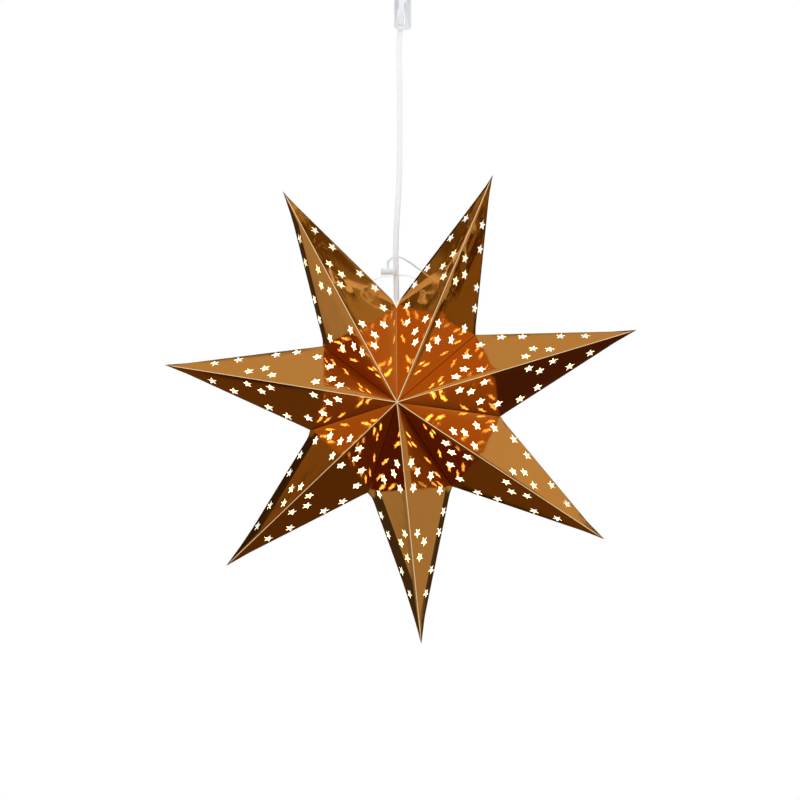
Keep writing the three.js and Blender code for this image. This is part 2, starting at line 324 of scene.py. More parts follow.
# %% mirror foil
foil, tree, out = blank("copper gold mirror foil, laminated on card")
place = node(tree, "ShaderNodeTexCoord").outputs["Object"]
long_wave = node(tree, "ShaderNodeTexNoise", {"Vector": place, "Scale": 16.0, "Detail": 2.0})
fibres = node(tree, "ShaderNodeTexNoise", {"Vector": place, "Scale": 900.0, "Detail": 3.0})
lift = node(tree, "ShaderNodeBump", {"Height": long_wave.outputs["Fac"], "Strength": 0.5,
                                     "Distance": 0.001})
print_through = node(tree, "ShaderNodeBump", {"Height": fibres.outputs["Fac"], "Strength": 0.1,
                                              "Distance": 0.00004, "Normal": lift.outputs["Normal"]})
crinkle = node(tree, "ShaderNodeTexNoise", {"Vector": place, "Scale": 42.0, "Detail": 1.6,
                                            "Distortion": 0.5})
held = node(tree, "ShaderNodeAttribute", attribute_name="handled")
rumple = node(tree, "ShaderNodeMath", {0: held.outputs["Fac"], 1: crinkle.outputs["Fac"]},
              operation="MULTIPLY")
crumpled = node(tree, "ShaderNodeBump", {"Height": rumple.outputs["Value"], "Strength": 0.6,
                                         "Distance": 0.003, "Normal": print_through.outputs["Normal"]})
lacquer = node(tree, "ShaderNodeMix", {"Factor": long_wave.outputs["Fac"], "A": linear("#EAA04C"),
                                       "B": linear("#E69A47")}, data_type="RGBA")
# pale matt line on the ridge, weaker along the open seam: partly rubbed-off lacquer, partly a painted
# highlight
crease_wear_and_highlight = node(tree, "ShaderNodeAttribute", attribute_name="crease")
# painted shade: dark red along the valleys stands in for their deep reflection, and the colour also darkens
# towards each tip
pressed = node(tree, "ShaderNodeAttribute", attribute_name="painted_valley_shade_and_dark_tip")
deep = node(tree, "ShaderNodeMix", {"Factor": pressed.outputs["Fac"], "A": lacquer.outputs["Result"],
                                    "B": linear("#7E2A0C")}, data_type="RGBA")
crease_wear_and_highlight_tint = node(tree, "ShaderNodeMix", {"Factor": crease_wear_and_highlight.outputs["Fac"], "A": deep.outputs["Result"],
                                      "B": linear("#FFEBBE")}, data_type="RGBA")
haze = node(tree, "ShaderNodeMapRange", {"Value": fibres.outputs["Fac"], "To Min": 0.05, "To Max": 0.09})
scuffed = node(tree, "ShaderNodeMix", {"Factor": crease_wear_and_highlight.outputs["Fac"], "A": haze.outputs["Result"],
                                       "B": 0.5}, data_type="FLOAT")
mirror = node(tree, "ShaderNodeMapRange", {"Value": crease_wear_and_highlight.outputs["Fac"], "To Min": 1.0, "To Max": 0.0})
shader = node(tree, "ShaderNodeBsdfPrincipled", {
    "Base Color": crease_wear_and_highlight_tint.outputs["Result"], "Metallic": mirror.outputs["Result"],
    "Roughness": scuffed.outputs["Result"], "Normal": crumpled.outputs["Normal"],
    "Specular Tint": linear("#FFE8CC")})
tree.links.new(shader.outputs[0], out.inputs["Surface"])

# %% white board
board, tree, out = blank("bare white board, uncoated")
place = node(tree, "ShaderNodeTexCoord").outputs["Object"]
pulp = node(tree, "ShaderNodeTexNoise", {"Vector": place, "Scale": 700.0, "Detail": 4.0})
tint = node(tree, "ShaderNodeMix", {"Factor": pulp.outputs["Fac"], "A": linear("#F7F3E6"),
                                    "B": linear("#EFE9D8")}, data_type="RGBA")
bump = node(tree, "ShaderNodeBump", {"Height": pulp.outputs["Fac"], "Strength": 0.2, "Distance": 0.0001})
shader = node(tree, "ShaderNodeBsdfPrincipled", {
    "Base Color": tint.outputs["Result"], "Roughness": 0.85, "Normal": bump.outputs["Normal"]})
tree.links.new(shader.outputs[0], out.inputs["Surface"])

# %% [markdown]
# ## One folded panel
#
# Every arm is one sheet, scored and folded into four mirrored panels: front and back, left and right of
# the ridge. A panel is a triangle from the apex along the ridge to the tip, and out to the notch. Its
# twelve punched stars each point at the ridge. The triangle is filled with a mesh fine enough to bend.

# %% star's sizes
ARMS = 7
TIP_R = 263 * MM
NOTCH_R = 107.7 * MM
APEX_D = 102 * MM
CARD = 0.45 * MM
HANG_TILT = math.radians(4.2)
PITCH = 2 * math.pi / ARMS
PORT = 7.8 * MM
STAR_HOLE = (5.9 * MM, 2.75 * MM)
PUNCHED = np.array([
    [74.4, 12.4], [88.2, 20.8], [100.7, 41.6], [103.5, 11.7], [122.4, 54.6], [149, 57.3],
    [156.3, 11.2], [169.3, 47.0], [170.0, 20.6], [184.9, 11.1], [206.4, 28.1], [229.9, 15.9],
]) * MM


# %% flat panel
RIDGE_L = math.hypot(TIP_R, APEX_D)
notch_in = Vector((NOTCH_R * math.cos(PITCH / 2), NOTCH_R * math.sin(PITCH / 2), -APEX_D))
ridge_in = Vector((TIP_R, 0, -APEX_D)) / RIDGE_L
NOTCH_U = notch_in.dot(ridge_in)
NOTCH_V = (notch_in - ridge_in * NOTCH_U).length
# rows of points beside the folds, and the spacing of the points between
RIDGE_ROW = 1.0 * MM
RIM_ROW = 1.0 * MM
VALLEY_ROW = 0.7 * MM
STEP = 6 * MM
ROW_GAP = 5.2 * MM
EDGE_CLEAR = 2.2 * MM
HOLE_CLEAR = 7.4 * MM
HOLE_REACH = 6.2 * MM
FLAT_A = np.array([0.0, 0.0])
FLAT_T = np.array([RIDGE_L, 0.0])
FLAT_N = np.array([NOTCH_U, NOTCH_V])
# how fast the glue flap narrows to the tip, along the rim
TIP_SLOPE = 0.8 * NOTCH_V / (RIDGE_L - NOTCH_U)


def off_line(p, a, b):
    """Signed distance of points from the line a to b, positive on its left."""
    d = (b - a) / np.linalg.norm(b - a)
    return d[0] * (p[..., 1] - a[1]) - d[1] * (p[..., 0] - a[0])


def inside(p, outline):
    """Whether one point lies inside a closed outline."""
    hit = False
    for a, b in zip(outline, np.roll(outline, -1, axis=0)):
        if (a[1] > p[1]) != (b[1] > p[1]) and p[0] < a[0] + (p[1] - a[1]) * (b[0] - a[0]) / (b[1] - a[1]):
            hit = not hit
    return hit


def crossing(a, b, c, d):
    """Where the lines a-b and c-d meet."""
    s = off_line(a, c, d) / (off_line(a, c, d) - off_line(b, c, d))
    return a + (b - a) * s


def run(a, b, step):
    """Points from a to b, without b."""
    count = max(1, round(float(np.linalg.norm(b - a)) / step))
    return [a + (b - a) * i / count for i in range(count)]


def flat_panel(seam, flap):
    """Points and triangles of a flat panel. A seam panel has its corner cut off for the cord."""
    corners = [FLAT_A, FLAT_T, FLAT_N]
    if seam:
        corners = [FLAT_A, FLAT_T, FLAT_N + (FLAT_T - FLAT_N) * PORT / np.linalg.norm(FLAT_T - FLAT_N),
                   FLAT_N + (FLAT_A - FLAT_N) * PORT / np.linalg.norm(FLAT_A - FLAT_N)]
    outline = []
    for a, b in zip(corners, corners[1:] + corners[:1]):
        outline += run(a, b, STEP)
    outline = np.array(outline)
    stars = []
    for u, v in PUNCHED:
        turn = -math.pi / 2 + math.pi * np.arange(10) / 5
        radius = np.where(np.arange(10) % 2 == 0, *STAR_HOLE)
        stars.append(np.column_stack([u + radius * np.cos(turn), v + radius * np.sin(turn)]))
    points, edges = [], []

    def ring(loop, closed=True):
        start = len(points)
        points.extend(loop)
        count = len(loop)
        edges.extend((start + i, start + (i + 1) % count) for i in range(count if closed else count - 1))

    ring(outline)
    for star in stars:
        ring(star)
    up = np.array([0.0, RIDGE_ROW])
    first, last = crossing(FLAT_A, FLAT_N, up, FLAT_T + up), crossing(FLAT_T, FLAT_N, up, FLAT_T + up)
    ring([first + (last - first) * t for t in np.linspace(0, 1, 48)], closed=False)
    valley = (FLAT_A - FLAT_N) / np.linalg.norm(FLAT_A - FLAT_N)
    aside = np.array([-valley[1], valley[0]]) * VALLEY_ROW
    first = crossing(FLAT_A, FLAT_T, FLAT_A + aside, FLAT_N + aside)
    last = crossing(FLAT_N, FLAT_T, FLAT_A + aside, FLAT_N + aside)
    ring([first + (last - first) * t for t in np.linspace(0, 1, 30)], closed=False)
    rim = (FLAT_N - FLAT_T) / np.linalg.norm(FLAT_N - FLAT_T)
    inwards = np.array([-rim[1], rim[0]])
    across = inwards * RIM_ROW
    first = crossing(FLAT_T, FLAT_A, FLAT_T + across, FLAT_N + across)
    last = crossing(FLAT_A, FLAT_N, FLAT_T + across, FLAT_N + across)
    ring([first + (last - first) * t for t in np.linspace(0, 1, 30)], closed=False)
    bent = FLAT_N + (FLAT_A - FLAT_N) * flap / -off_line(FLAT_A, FLAT_N, FLAT_T)
    knee = FLAT_T + rim * flap / TIP_SLOPE + inwards * flap
    ring(run(FLAT_T, knee, STEP) + run(knee, bent, STEP) + [bent], closed=False)
    for u in np.arange(3 * MM, RIDGE_L, STEP):
        for v in np.arange(4 * MM, NOTCH_V, ROW_GAP):
            q = np.array([u + 3 * MM * (round(v / ROW_GAP) % 2), v])
            clear = min(-off_line(q, FLAT_N, FLAT_T), -off_line(q, FLAT_A, FLAT_N)) > EDGE_CLEAR
            if clear and np.min(np.linalg.norm(PUNCHED - q, axis=1)) > HOLE_CLEAR:
                points.append(q)
    flat, _, faces, _, _, _ = delaunay_2d_cdt([Vector(p) for p in points], edges, [], 0, 1e-7)
    flat = np.array([tuple(p) for p in flat])
    kept = []
    for f in faces:
        middle = flat[list(f)].mean(axis=0)
        if inside(middle, outline) and not any(
                np.linalg.norm(middle - PUNCHED[i]) < HOLE_REACH and inside(middle, stars[i])
                for i in range(len(stars))):
            kept.append(list(f))
    return flat, kept


print("panel", round(RIDGE_L, 4), "by", round(NOTCH_V, 4), "m")

# %% [markdown]
# ## Folding an arm
#
# The flat panel is laid into the star, mirrored left to right and front to back. Scored card doesn't
# fold to a knife edge, so the ridge and the rim are drawn in a little, which leaves two narrow facets
# there, and the smooth shading rounds them. That rounding catches the light as a thin line, and a pale
# matt tint along the ridge, partly rubbed-off lacquer and partly a painted highlight, makes it paler.
# A glue flap behind the rim stiffens it, and the board bends slightly where the flap ends.


# %% glue flap's width on each arm's left (1) and right (-1), in millimetres
FLAP = {(3, 1): 9, (4, 1): 12, (4, -1): 26, (5, -1): 20, (7, 1): 15, (1, -1): 6, (1, 1): 5}
FLAP_ELSEWHERE = 2


# %% fold
FLAP_BEND = 0.11
FOLD_IN = 0.45 * MM
ON_FOLD = 1e-6
# the folds sharpen over the last stretch to the tip, and the tip itself is drawn out
SHARPEN = 30 * MM
SPIKE_FROM, SPIKE = 9 * MM, 3 * MM
# how strongly each panel was handled, and where on it
HELD = {(1, 1): 0.55, (1, -1): 1.0, (7, -1): 0.5, (5, -1): 0.25}
GRIP_OUT, GRIP_WIDE = 11 * MM, 9 * MM
GRIP_FROM, GRIP_FADE = 110 * MM, 30 * MM
# the board's own warp
WARP, WARP_ALONG, WARP_ACROSS = 0.15 * MM, 46 * MM, 31 * MM
BELLY = 0.9 * MM
FLAT_NEAR_FOLDS = 22 * MM
# flat panels already cut, keyed by whether they are at the seam and by their flap width
cut = {}


def arm_mesh(arm):
    """Outer surface of one folded arm."""
    ridge_turn = math.pi / 2 + HANG_TILT - (arm - 0.5) * PITCH
    radial = np.array([math.cos(ridge_turn), 0, math.sin(ridge_turn)])
    tangent = np.array([-math.sin(ridge_turn), 0, math.cos(ridge_turn)])
    centre = np.array(STAR)
    vertices, faces, marks = [], [], {"crease": [], "painted_valley_shade_and_dark_tip": [], "flap_end": [], "handled": []}
    for face in (-1, 1):
        depth = np.array([0, face, 0.0])
        apex = centre + depth * APEX_D
        along = (radial * TIP_R - depth * APEX_D) / RIDGE_L
        inward = -(depth * TIP_R + radial * APEX_D) / RIDGE_L
        for hand in (1, -1):
            seam = (arm, hand) in ((1, 1), (ARMS, -1))
            flap = FLAP.get((arm, hand), FLAP_ELSEWHERE) * MM
            if (seam, flap) not in cut:
                cut[seam, flap] = flat_panel(seam, flap)
            flat, triangles = cut[seam, flap]
            to_notch = (radial * NOTCH_R * math.cos(PITCH / 2)
                        + hand * tangent * NOTCH_R * math.sin(PITCH / 2) - depth * APEX_D)
            across = to_notch - along * (to_notch @ along)
            across /= np.linalg.norm(across)
            normal = np.cross(along, across)
            normal *= -np.sign(normal @ (centre - apex))
            u, v = flat[:, 0], flat[:, 1]
            p = apex + u[:, None] * along + v[:, None] * across
            rim_line = to_notch + depth * APEX_D - radial * TIP_R
            rim_line /= np.linalg.norm(rim_line)
            rim_in = -np.cross(rim_line, depth)
            rim_in *= np.sign(rim_in @ -radial)
            from_rim = -off_line(flat, FLAT_N, FLAT_T)
            from_valley = -off_line(flat, FLAT_A, FLAT_N)
            # the shallow bend where the glue flap ends
            reach = (flat - FLAT_T) @ (FLAT_N - FLAT_T) / np.linalg.norm(FLAT_N - FLAT_T)
            strip = np.minimum(flap, TIP_SLOPE * reach)
            fade = np.clip(from_valley / (6 * MM), 0, 1)
            p += rim_in * (np.maximum(strip - from_rim, 0) * fade * FLAP_BEND)[:, None]
            # folds drawn in, less and less towards the sharp tip
            sharp = np.clip(np.linalg.norm(flat - FLAT_T, axis=1) / SHARPEN, 0, 1)
            p += inward * (np.where(v < ON_FOLD, FOLD_IN, 0) * sharp)[:, None]
            p += rim_in * (np.where(from_rim < ON_FOLD, FOLD_IN, 0) * sharp)[:, None]
            # the tip is pinched out to a thin spike
            near_tip = np.clip(1 - np.linalg.norm(flat - FLAT_T, axis=1) / SPIKE_FROM, 0, 1)
            p += radial * (near_tip ** 2 * SPIKE)[:, None]
            in_valley = np.where(np.abs(from_valley) < ON_FOLD, 1.0, 0.0)
            # pale crease line on the ridge and a weaker one along the open seam, partly rubbed lacquer and
            # partly a painted highlight
            marks["crease"].extend(np.where(v < ON_FOLD, 1.0, in_valley * seam * 0.3))
            # painted shade along each closed valley, standing in for its deep reflection, and darker towards
            # the tip
            marks["painted_valley_shade_and_dark_tip"].extend(in_valley * (not seam) + np.clip(near_tip * 2 - 0.5, 0, 1))
            marks["flap_end"].extend(np.where(np.abs(from_rim - strip) < 1e-5, 1.0, 0.0))
            # the arms beside the cord are the ones held while tying, so their foil is crinkled
            gripped = HELD.get((arm, hand), 0) * np.exp(-((v - GRIP_OUT) / GRIP_WIDE) ** 2)
            marks["handled"].extend(gripped * np.clip((u - GRIP_FROM) / GRIP_FADE, 0, 1))
            # the board's own shallow warp, nothing at the folds
            free = 1 - np.exp(-v * from_rim * from_valley / FLAT_NEAR_FOLDS ** 3)
            phase = arm * 1.7 + face * 0.9 + hand * 0.6
            warp = WARP * np.sin(u / WARP_ALONG + phase) * np.cos(v / WARP_ACROSS - phase)
            belly = BELLY * np.sin(phase * 2.3)
            p += normal * ((warp + belly) * free)[:, None]
            flip = np.cross(along, across) @ normal < 0
            start = len(vertices)
            vertices.extend(p)
            faces.extend([start + i for i in (f[::-1] if flip else f)] for f in triangles)
    return vertices, faces, tangent, marks


arm_bodies = {1: "star", **{k: f"arm_{k}" for k in range(2, ARMS + 1)}}
for arm in range(1, ARMS + 1):
    vertices, faces, tangent, marks = arm_mesh(arm)
    mesh = bpy.data.meshes.new(f"folded_arm_{arm}")
    mesh.from_pydata([tuple(map(float, v)) for v in vertices], [], faces)
    for mark, values in marks.items():
        mesh.attributes.new(mark, "FLOAT", "POINT").data.foreach_set("value", values)
    folded = bpy.data.objects.new(f"folded_arm_{arm}", mesh)
    bpy.context.scene.collection.objects.link(folded)
    work = bmesh.new()
    work.from_mesh(mesh)
    bmesh.ops.remove_doubles(work, verts=work.verts, dist=0.04 * MM)
    work.to_mesh(mesh)
    work.free()
    for m in (foil, board, board):
        mesh.materials.append(m)
    thick = folded.modifiers.new("card", "SOLIDIFY")
    thick.thickness = CARD
    thick.offset = -1
    thick.material_offset = 1
    thick.material_offset_rim = 2
    for stage in ("thicken", "shade"):
        bpy.context.view_layer.update()
        graph = bpy.context.evaluated_depsgraph_get()
        shaped = bpy.data.meshes.new_from_object(folded.evaluated_get(graph))
        folded.modifiers.clear()
        folded.data = shaped
        if stage == "thicken":
            shaped.shade_smooth()
            shaped.set_sharp_from_angle(angle=math.radians(62))
            ends = [mark.value > 0.9 for mark in shaped.attributes["flap_end"].data]
            for edge in shaped.edges:
                edge.use_edge_sharp = edge.use_edge_sharp or all(ends[v] for v in edge.vertices)
            weighted = folded.modifiers.new("flat faces first", "WEIGHTED_NORMAL")
            weighted.keep_sharp = True
    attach(folded, arm_bodies[arm])
    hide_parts(*[f"arm_{arm}_{face}_{hand}" for face in ("front", "back")
                          for hand in ("left", "right")])
    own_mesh(folded)
print("arms folded,", len(shaped.polygons), "faces on the last one")

# %% [markdown]
# ## The lamp inside
#
# A small screw-base globe lamp with a frosted envelope hangs in a white moulded lamp holder, just over
# the middle of the star. It lights the bare board all round it, and the punched stars show that board.

# %% frosted bulb
frosted, tree, out = blank("frosted globe, lit warm white")
place = node(tree, "ShaderNodeTexCoord").outputs["Object"]
frost = node(tree, "ShaderNodeTexNoise", {"Vector": place, "Scale": 300.0, "Detail": 2.0})
glow = node(tree, "ShaderNodeMapRange", {"Value": frost.outputs["Fac"], "To Min": 84.0, "To Max": 94.0})
shader = node(tree, "ShaderNodeBsdfPrincipled", {
    "Base Color": linear("#FFF6E6"), "Roughness": 0.4, "Emission Color": linear("#FFE6C0"),
    "Emission Strength": glow.outputs["Result"]})
tree.links.new(shader.outputs[0], out.inputs["Surface"])

LAMP_X = -6.5 * MM
BULB_R = 22.5 * MM
BULB_Z = -520 * MM


def globe(radius, neck):
    """Half outline of the globe and its neck, from the neck down to the bottom."""
    wall = [(neck, -484 * MM), (neck + 0.5 * MM, -491 * MM), (neck + 2.3 * MM, -497 * MM)]
    for i in range(25):
        a = math.radians(58 - 148 * i / 24)
        wall.append((max(0.0, radius * math.cos(a)), BULB_Z + radius * math.sin(a)))
    return wall


piece("globe", *turned(globe(BULB_R, 7 * MM) + globe(BULB_R - 1.2 * MM, 5.8 * MM)[::-1], (LAMP_X, 0)),
      frosted, "bulb", "bulb_glass", ["bulb_glass"])

# %% [markdown]
# ## Plain materials of the fittings
#
# Each fitting keeps the finish of its trade: moulded plastic with a fine mould grain and a slight
# orange peel, zinc-plated wire with drawing lines, brass that has dulled, glazed steatite with specks.


# %% one builder for the fittings' finishes
def finish(name, light, dark, scale, rough, bump_height, metallic=0.0, **constants):
    """A finish with clouded colour, clouded roughness and a fine relief, all from noise in metres."""
    material, tree, out = blank(name)
    place = node(tree, "ShaderNodeTexCoord").outputs["Object"]
    cloud = node(tree, "ShaderNodeTexNoise", {"Vector": place, "Scale": scale, "Detail": 4.0})
    grain = node(tree, "ShaderNodeTexNoise", {"Vector": place, "Scale": scale * 14, "Detail": 2.0})
    tint = node(tree, "ShaderNodeMix", {"Factor": cloud.outputs["Fac"], "A": linear(light),
                                        "B": linear(dark)}, data_type="RGBA")
    gloss = node(tree, "ShaderNodeMapRange", {"Value": cloud.outputs["Fac"], "To Min": rough[0],
                                              "To Max": rough[1]})
    relief = node(tree, "ShaderNodeBump", {"Height": grain.outputs["Fac"], "Strength": 0.3,
                                           "Distance": bump_height})
    shader = node(tree, "ShaderNodeBsdfPrincipled", {
        "Base Color": tint.outputs["Result"], "Roughness": gloss.outputs["Result"],
        "Normal": relief.outputs["Normal"], "Metallic": metallic, **constants})
    tree.links.new(shader.outputs[0], out.inputs["Surface"])
    return material


moulded = finish("white ABS, injection moulded", "#F6F5F1", "#ECEAE4", 60.0, (0.3, 0.42), 0.00003,
                 **{"Coat Weight": 0.1, "Coat Roughness": 0.3})
milky = finish("natural polypropylene, injection moulded", "#FCFDFE", "#ECF1F5", 120.0, (0.3, 0.45),
               0.00003, **{"Transmission Weight": 0.2, "IOR": 1.49, "Specular IOR Level": 0.35})
plated = finish("zinc-plated steel wire, drawn", "#D3D6DA", "#A9ADB3", 240.0, (0.22, 0.4), 0.00002, 1.0)
brass = finish("brass, pressed and dulled", "#D2AC62", "#A77F3B", 180.0, (0.25, 0.45), 0.00002, 1.0)
steatite = finish("glazed steatite", "#F1ECDF", "#DDD5C2", 220.0, (0.18, 0.3), 0.00003,
                  **{"Coat Weight": 0.5, "Coat Roughness": 0.12})
sewing = finish("white polyester thread, twisted", "#F3F0E8", "#D9D4C6", 900.0, (0.7, 0.9), 0.00005)
print("six fitting finishes")

# %% [markdown]
# ## Hanger plate
#
# The plate is a moulded strip with raised sides, an eye for the ceiling hook and two long slots. The
# cord weaves through the slots, and friction there sets how high the star hangs. It would be injection
# moulded in natural polypropylene, which is milky and lets light through at its edges.

# %% hanger plate
UPRIGHT = Matrix.Rotation(math.pi / 2, 4, "X")
HALF = 9.25 * MM
PLATE_TOP = -40 * MM
PLATE_LOW = -112 * MM
PLATE_T = 2 * MM
CORNER = 4 * MM
EYE_Z, EYE_R = -50.4 * MM, 4.5 * MM
RIM_HALF, RIM_DEEP, RIM_TOP = 0.9 * MM, 2.5 * MM, -50 * MM


def slot_outline(x, z, width, height):
    """A slot with round ends."""
    r = width / 2
    return arc(x, z + height / 2 - r, r, 0, 180, 17) + arc(x, z - height / 2 + r, r, 180, 360, 17)


outline = (arc(HALF - CORNER, PLATE_LOW + CORNER, CORNER, -90, 0, 9)
           + arc(0, PLATE_TOP - HALF, HALF, 0, 180, 41)
           + arc(-HALF + CORNER, PLATE_LOW + CORNER, CORNER, 180, 270, 9))
eye = arc(0, EYE_Z, EYE_R, 0, 351, 40)
slots = [slot_outline(-0.2 * MM, -72.4 * MM, 8.4 * MM, 22 * MM),
         slot_outline(-1.5 * MM, -98.2 * MM, 8 * MM, 19.8 * MM)]
cut_sheet("hanger_web", outline, [eye] + slots, PLATE_T, 0.35 * MM, milky, "hanger",
          ["hanger_plate"], UPRIGHT)
for side in (-1, 1):
    x = side * (HALF - RIM_HALF)
    low, high = (x - RIM_HALF, -RIM_DEEP, PLATE_LOW + CORNER), (x + RIM_HALF, RIM_DEEP, RIM_TOP)
    rim = piece("hanger_rim_right" if side > 0 else "hanger_rim_left", *block(low, high), milky, "hanger",
                "clear_plastic", [])
    eased(rim, 0.6 * MM)
print("hanger plate", round(2 * HALF, 4), "by", round(PLATE_TOP - PLATE_LOW, 4), "m")

# %% [markdown]
# ## Strap, barrel and thread
#
# The star is closed round the cord by a soft moulded strap. Its band goes over the cord, and its barrel
# is the toggle that stops it from slipping out. A thread ties the last arm to the first.

# %% strap band
BAND = np.array([
    [-15.2, -7, -373.4], [-15.7, -5.6, -370], [-15.2, -7, -365], [-11.5, -8.2, -361.4], [-6.6, -8.4, -359.6],
    [-1, -8, -360.6], [5.4, -6.6, -363.8], [11.6, -4.6, -368], [16.2, -2.4, -371.6], [20.6, -0.4, -374.6],
]) * MM
band_line = smooth_line(BAND, 0.8 * MM)
BAND_R = 1.3 * MM
taper = np.interp(np.linspace(0, 1, len(band_line)), [0, 0.1, 0.85, 1], [1.2, 0.85, 0.8, 0.5]) * BAND_R
piece("strap_band", *tube(band_line, taper, 14), milky, "star", "white_plastic", ["closing_strap"])

# %% barrel
BARREL = Vector((-14.9, -7.6, -375.8)) * MM
shape = [(3.4, -8), (4, -7.4), (4, -6.2), (3.3, -5.6), (3.1, 5.4), (3.6, 6), (3.6, 7.3), (3, 8), (1.6, 8),
         (1.6, 5), (0, 4.6), (0, -3.6), (2.3, -4.2), (2.3, -8)]
vertices, faces = turned([(r * MM, z * MM) for r, z in shape], segments=40)
barrel = piece("strap_toggle", [(BARREL.x + z, BARREL.y + x, BARREL.z + y) for x, y, z in vertices], faces,
               milky, "star", "white_plastic", ["strap_barrel"])
eased(barrel, 0.25 * MM)

# %% thread
THREAD = np.array([[-32.6, 0.4, -384.8], [-27.5, 4.2, -383], [-20, 5, -380.6], [-10, 5.2, -379.8],
                   [0, 5, -379.6], [7, 4.4, -380.6], [11.5, 3, -382.6], [14.4, 0.4, -383.2]]) * MM
THREAD_STEP = 0.25 * MM
TWIST_L = 2.4 * MM
lay = smooth_line(THREAD, THREAD_STEP)
twist = np.arange(len(lay)) * THREAD_STEP / TWIST_L * 2 * math.pi
for ply in (0, 1):
    turn = twist + ply * math.pi
    strand = lay + 0.19 * MM * np.column_stack([np.zeros(len(lay)), np.cos(turn), np.sin(turn)])
    piece(f"thread_ply_{ply + 1}", *tube(strand, 0.2 * MM, 8), sewing, "star", "thread",
          ["tie_thread"] if ply == 0 else [])
# two turns of the same thread lash it to the cord
round_cord = np.linspace(0, 4 * math.pi, 97)
lashing = np.column_stack([-6.95 * MM + 3.3 * MM * np.cos(round_cord), 3.3 * MM * np.sin(round_cord),
                           -379.2 * MM - round_cord / (4 * math.pi) * 1.1 * MM])
piece("thread_lashing", *tube(lashing, 0.3 * MM, 10), sewing, "star", "thread", [])
print("band", round(float(np.linalg.norm(np.diff(band_line, axis=0), axis=1).sum()), 4), "m long")

# %% [markdown]
# ## Ceiling rose and hook
#
# A round moulded rose covers the wiring. Behind its cover sit a base plate with two screw holes, the
# hook with its lock nut, and a two-way terminal block of glazed steatite with brass screws.

# %% rose
ROSE = [(40, -0.5), (40, -13), (39.4, -16), (38.2, -19.2), (36.4, -22.4), (33.9, -25.2), (31, -27.4),
        (28, -29), (25, -30), (21, -30.5), (19.6, -30.6), (19, -30), (19, -29), (19.6, -28.5), (24.5, -27.8),
        (27.4, -26.9), (30, -25.5), (32.8, -23.3), (35.2, -20.7), (37, -17), (38, -13), (38, -0.5)]
cover = piece("rose_dome", *turned([(r * MM, z * MM) for r, z in ROSE], segments=96), moulded, "rose",
              "white_plastic", ["rose_cover"])
eased(cover, 0.2 * MM)
cut_sheet("rose_base", arc(0, 0, 36 * MM, 0, 357, 120),
          [arc(x, 0, 2.4 * MM, 0, 345, 24) for x in (-26 * MM, 26 * MM)], 4 * MM, 0.4 * MM, moulded, "rose",
          ["rose_plate"], Matrix.Translation((0, 0, -2 * MM)))

# %% hook and nut
HOOK = np.array([
    [0, 8, -4.3], [0, 8, -14], [0, 8, -26], [0, 8, -36], [0, 7.6, -41], [0, 5.6, -45.6], [0, 2.9, -47.6],
    [0, 0, -48], [0, -3, -47.5], [0, -5.6, -45.4], [0, -7.6, -41.6], [0, -8.6, -37], [0, -10.4, -33.4],
]) * MM
hook_line = smooth_line(HOOK, 0.9 * MM)
wire = np.full(len(hook_line), 1.75 * MM)
wire[-3:] = [1.6 * MM, 1.2 * MM, 0.5 * MM]
piece("hook_wire", *tube(hook_line, wire, 24), plated, "rose", "zinc_steel", ["ceiling_hook"])
nut = arc(0, 8 * MM, 4.6 * MM, 0, 300, 6)
cut_sheet("lock_nut", nut, [arc(0, 8 * MM, 2.05 * MM, 0, 345, 24)], 3.2 * MM, 0.35 * MM, plated, "rose",
          ["hook_nut"], Matrix.Translation((0, 0, -9.4 * MM)))

# %% terminal block
low, high = (5.2 * MM, 4.2 * MM, -17.7 * MM), (25.2 * MM, 16.2 * MM, -4.3 * MM)
terminals = piece("steatite_block", *block(low, high), steatite, "rose", "ceramic", ["terminal_block"])
eased(terminals, 1.0 * MM)
head = [(0, -0.8), (2, -0.8), (2, 0.5), (1.7, 0.8), (0, 0.8)]
for index, x in ((1, 10.2 * MM), (2, 20.2 * MM)):
    vertices, faces = turned([(r * MM, z * MM) for r, z in head], segments=28)
    piece(f"clamp_screw_{index}", [(x + a, 3.1 * MM - c, -11 * MM + b) for a, b, c in vertices], faces, brass,
          "rose", "brass", [f"terminal_screw_{index}"])
print("hook wire", round(float(np.linalg.norm(np.diff(hook_line, axis=0), axis=1).sum()), 4), "m long")

# %% [markdown]
# ## Lamp holder
#
# A white moulded holder of the common small screw size hangs on the cord inside the star. Its cap screws
# down over the wiring, and the shade ring turns on the shell. A steatite insert carries the contacts.

# %% holder
CAP = [(3.4, -432), (4.6, -432), (4.9, -434), (5.6, -437), (7, -439.2), (9, -441), (11.4, -442.6),
       (13, -444.5), (14, -446.5), (14.2, -448.7), (3.4, -448.7)]
SHELL = [(12.6, -449), (14.2, -449), (14.2, -452), (13.8, -452.4), (13.8, -453.4), (14.2, -453.8),
         (14.2, -490), (12.6, -490)]
RING = [(14.5, -463), (19.2, -463), (19.2, -466), (16.2, -466), (16.2, -473), (14.5, -473)]
INSERT = [(0, -449.3), (12.2, -449.3), (12.2, -458), (0, -458)]
CONTACT = [(0, -458.3), (2.2, -458.3), (2.2, -459.8), (1.6, -460.2), (0, -460.2)]
for name, shape, finish_of, slot_name, stands_for in (
        ("holder_dome", CAP, moulded, "white_plastic", "holder_cap"),
        ("holder_barrel", SHELL, moulded, "white_plastic", "holder_shell"),
        ("shade_ring", RING, moulded, "white_plastic", "holder_ring"),
        ("contact_carrier", INSERT, steatite, "ceramic", "holder_insert"),
        ("contact_tip", CONTACT, brass, "brass", "centre_contact")):
    made = piece(name, *turned([(r * MM, z * MM) for r, z in shape], (LAMP_X, 0), 72), finish_of, "star",
                 slot_name, [stands_for])
    eased(made, 0.3 * MM)

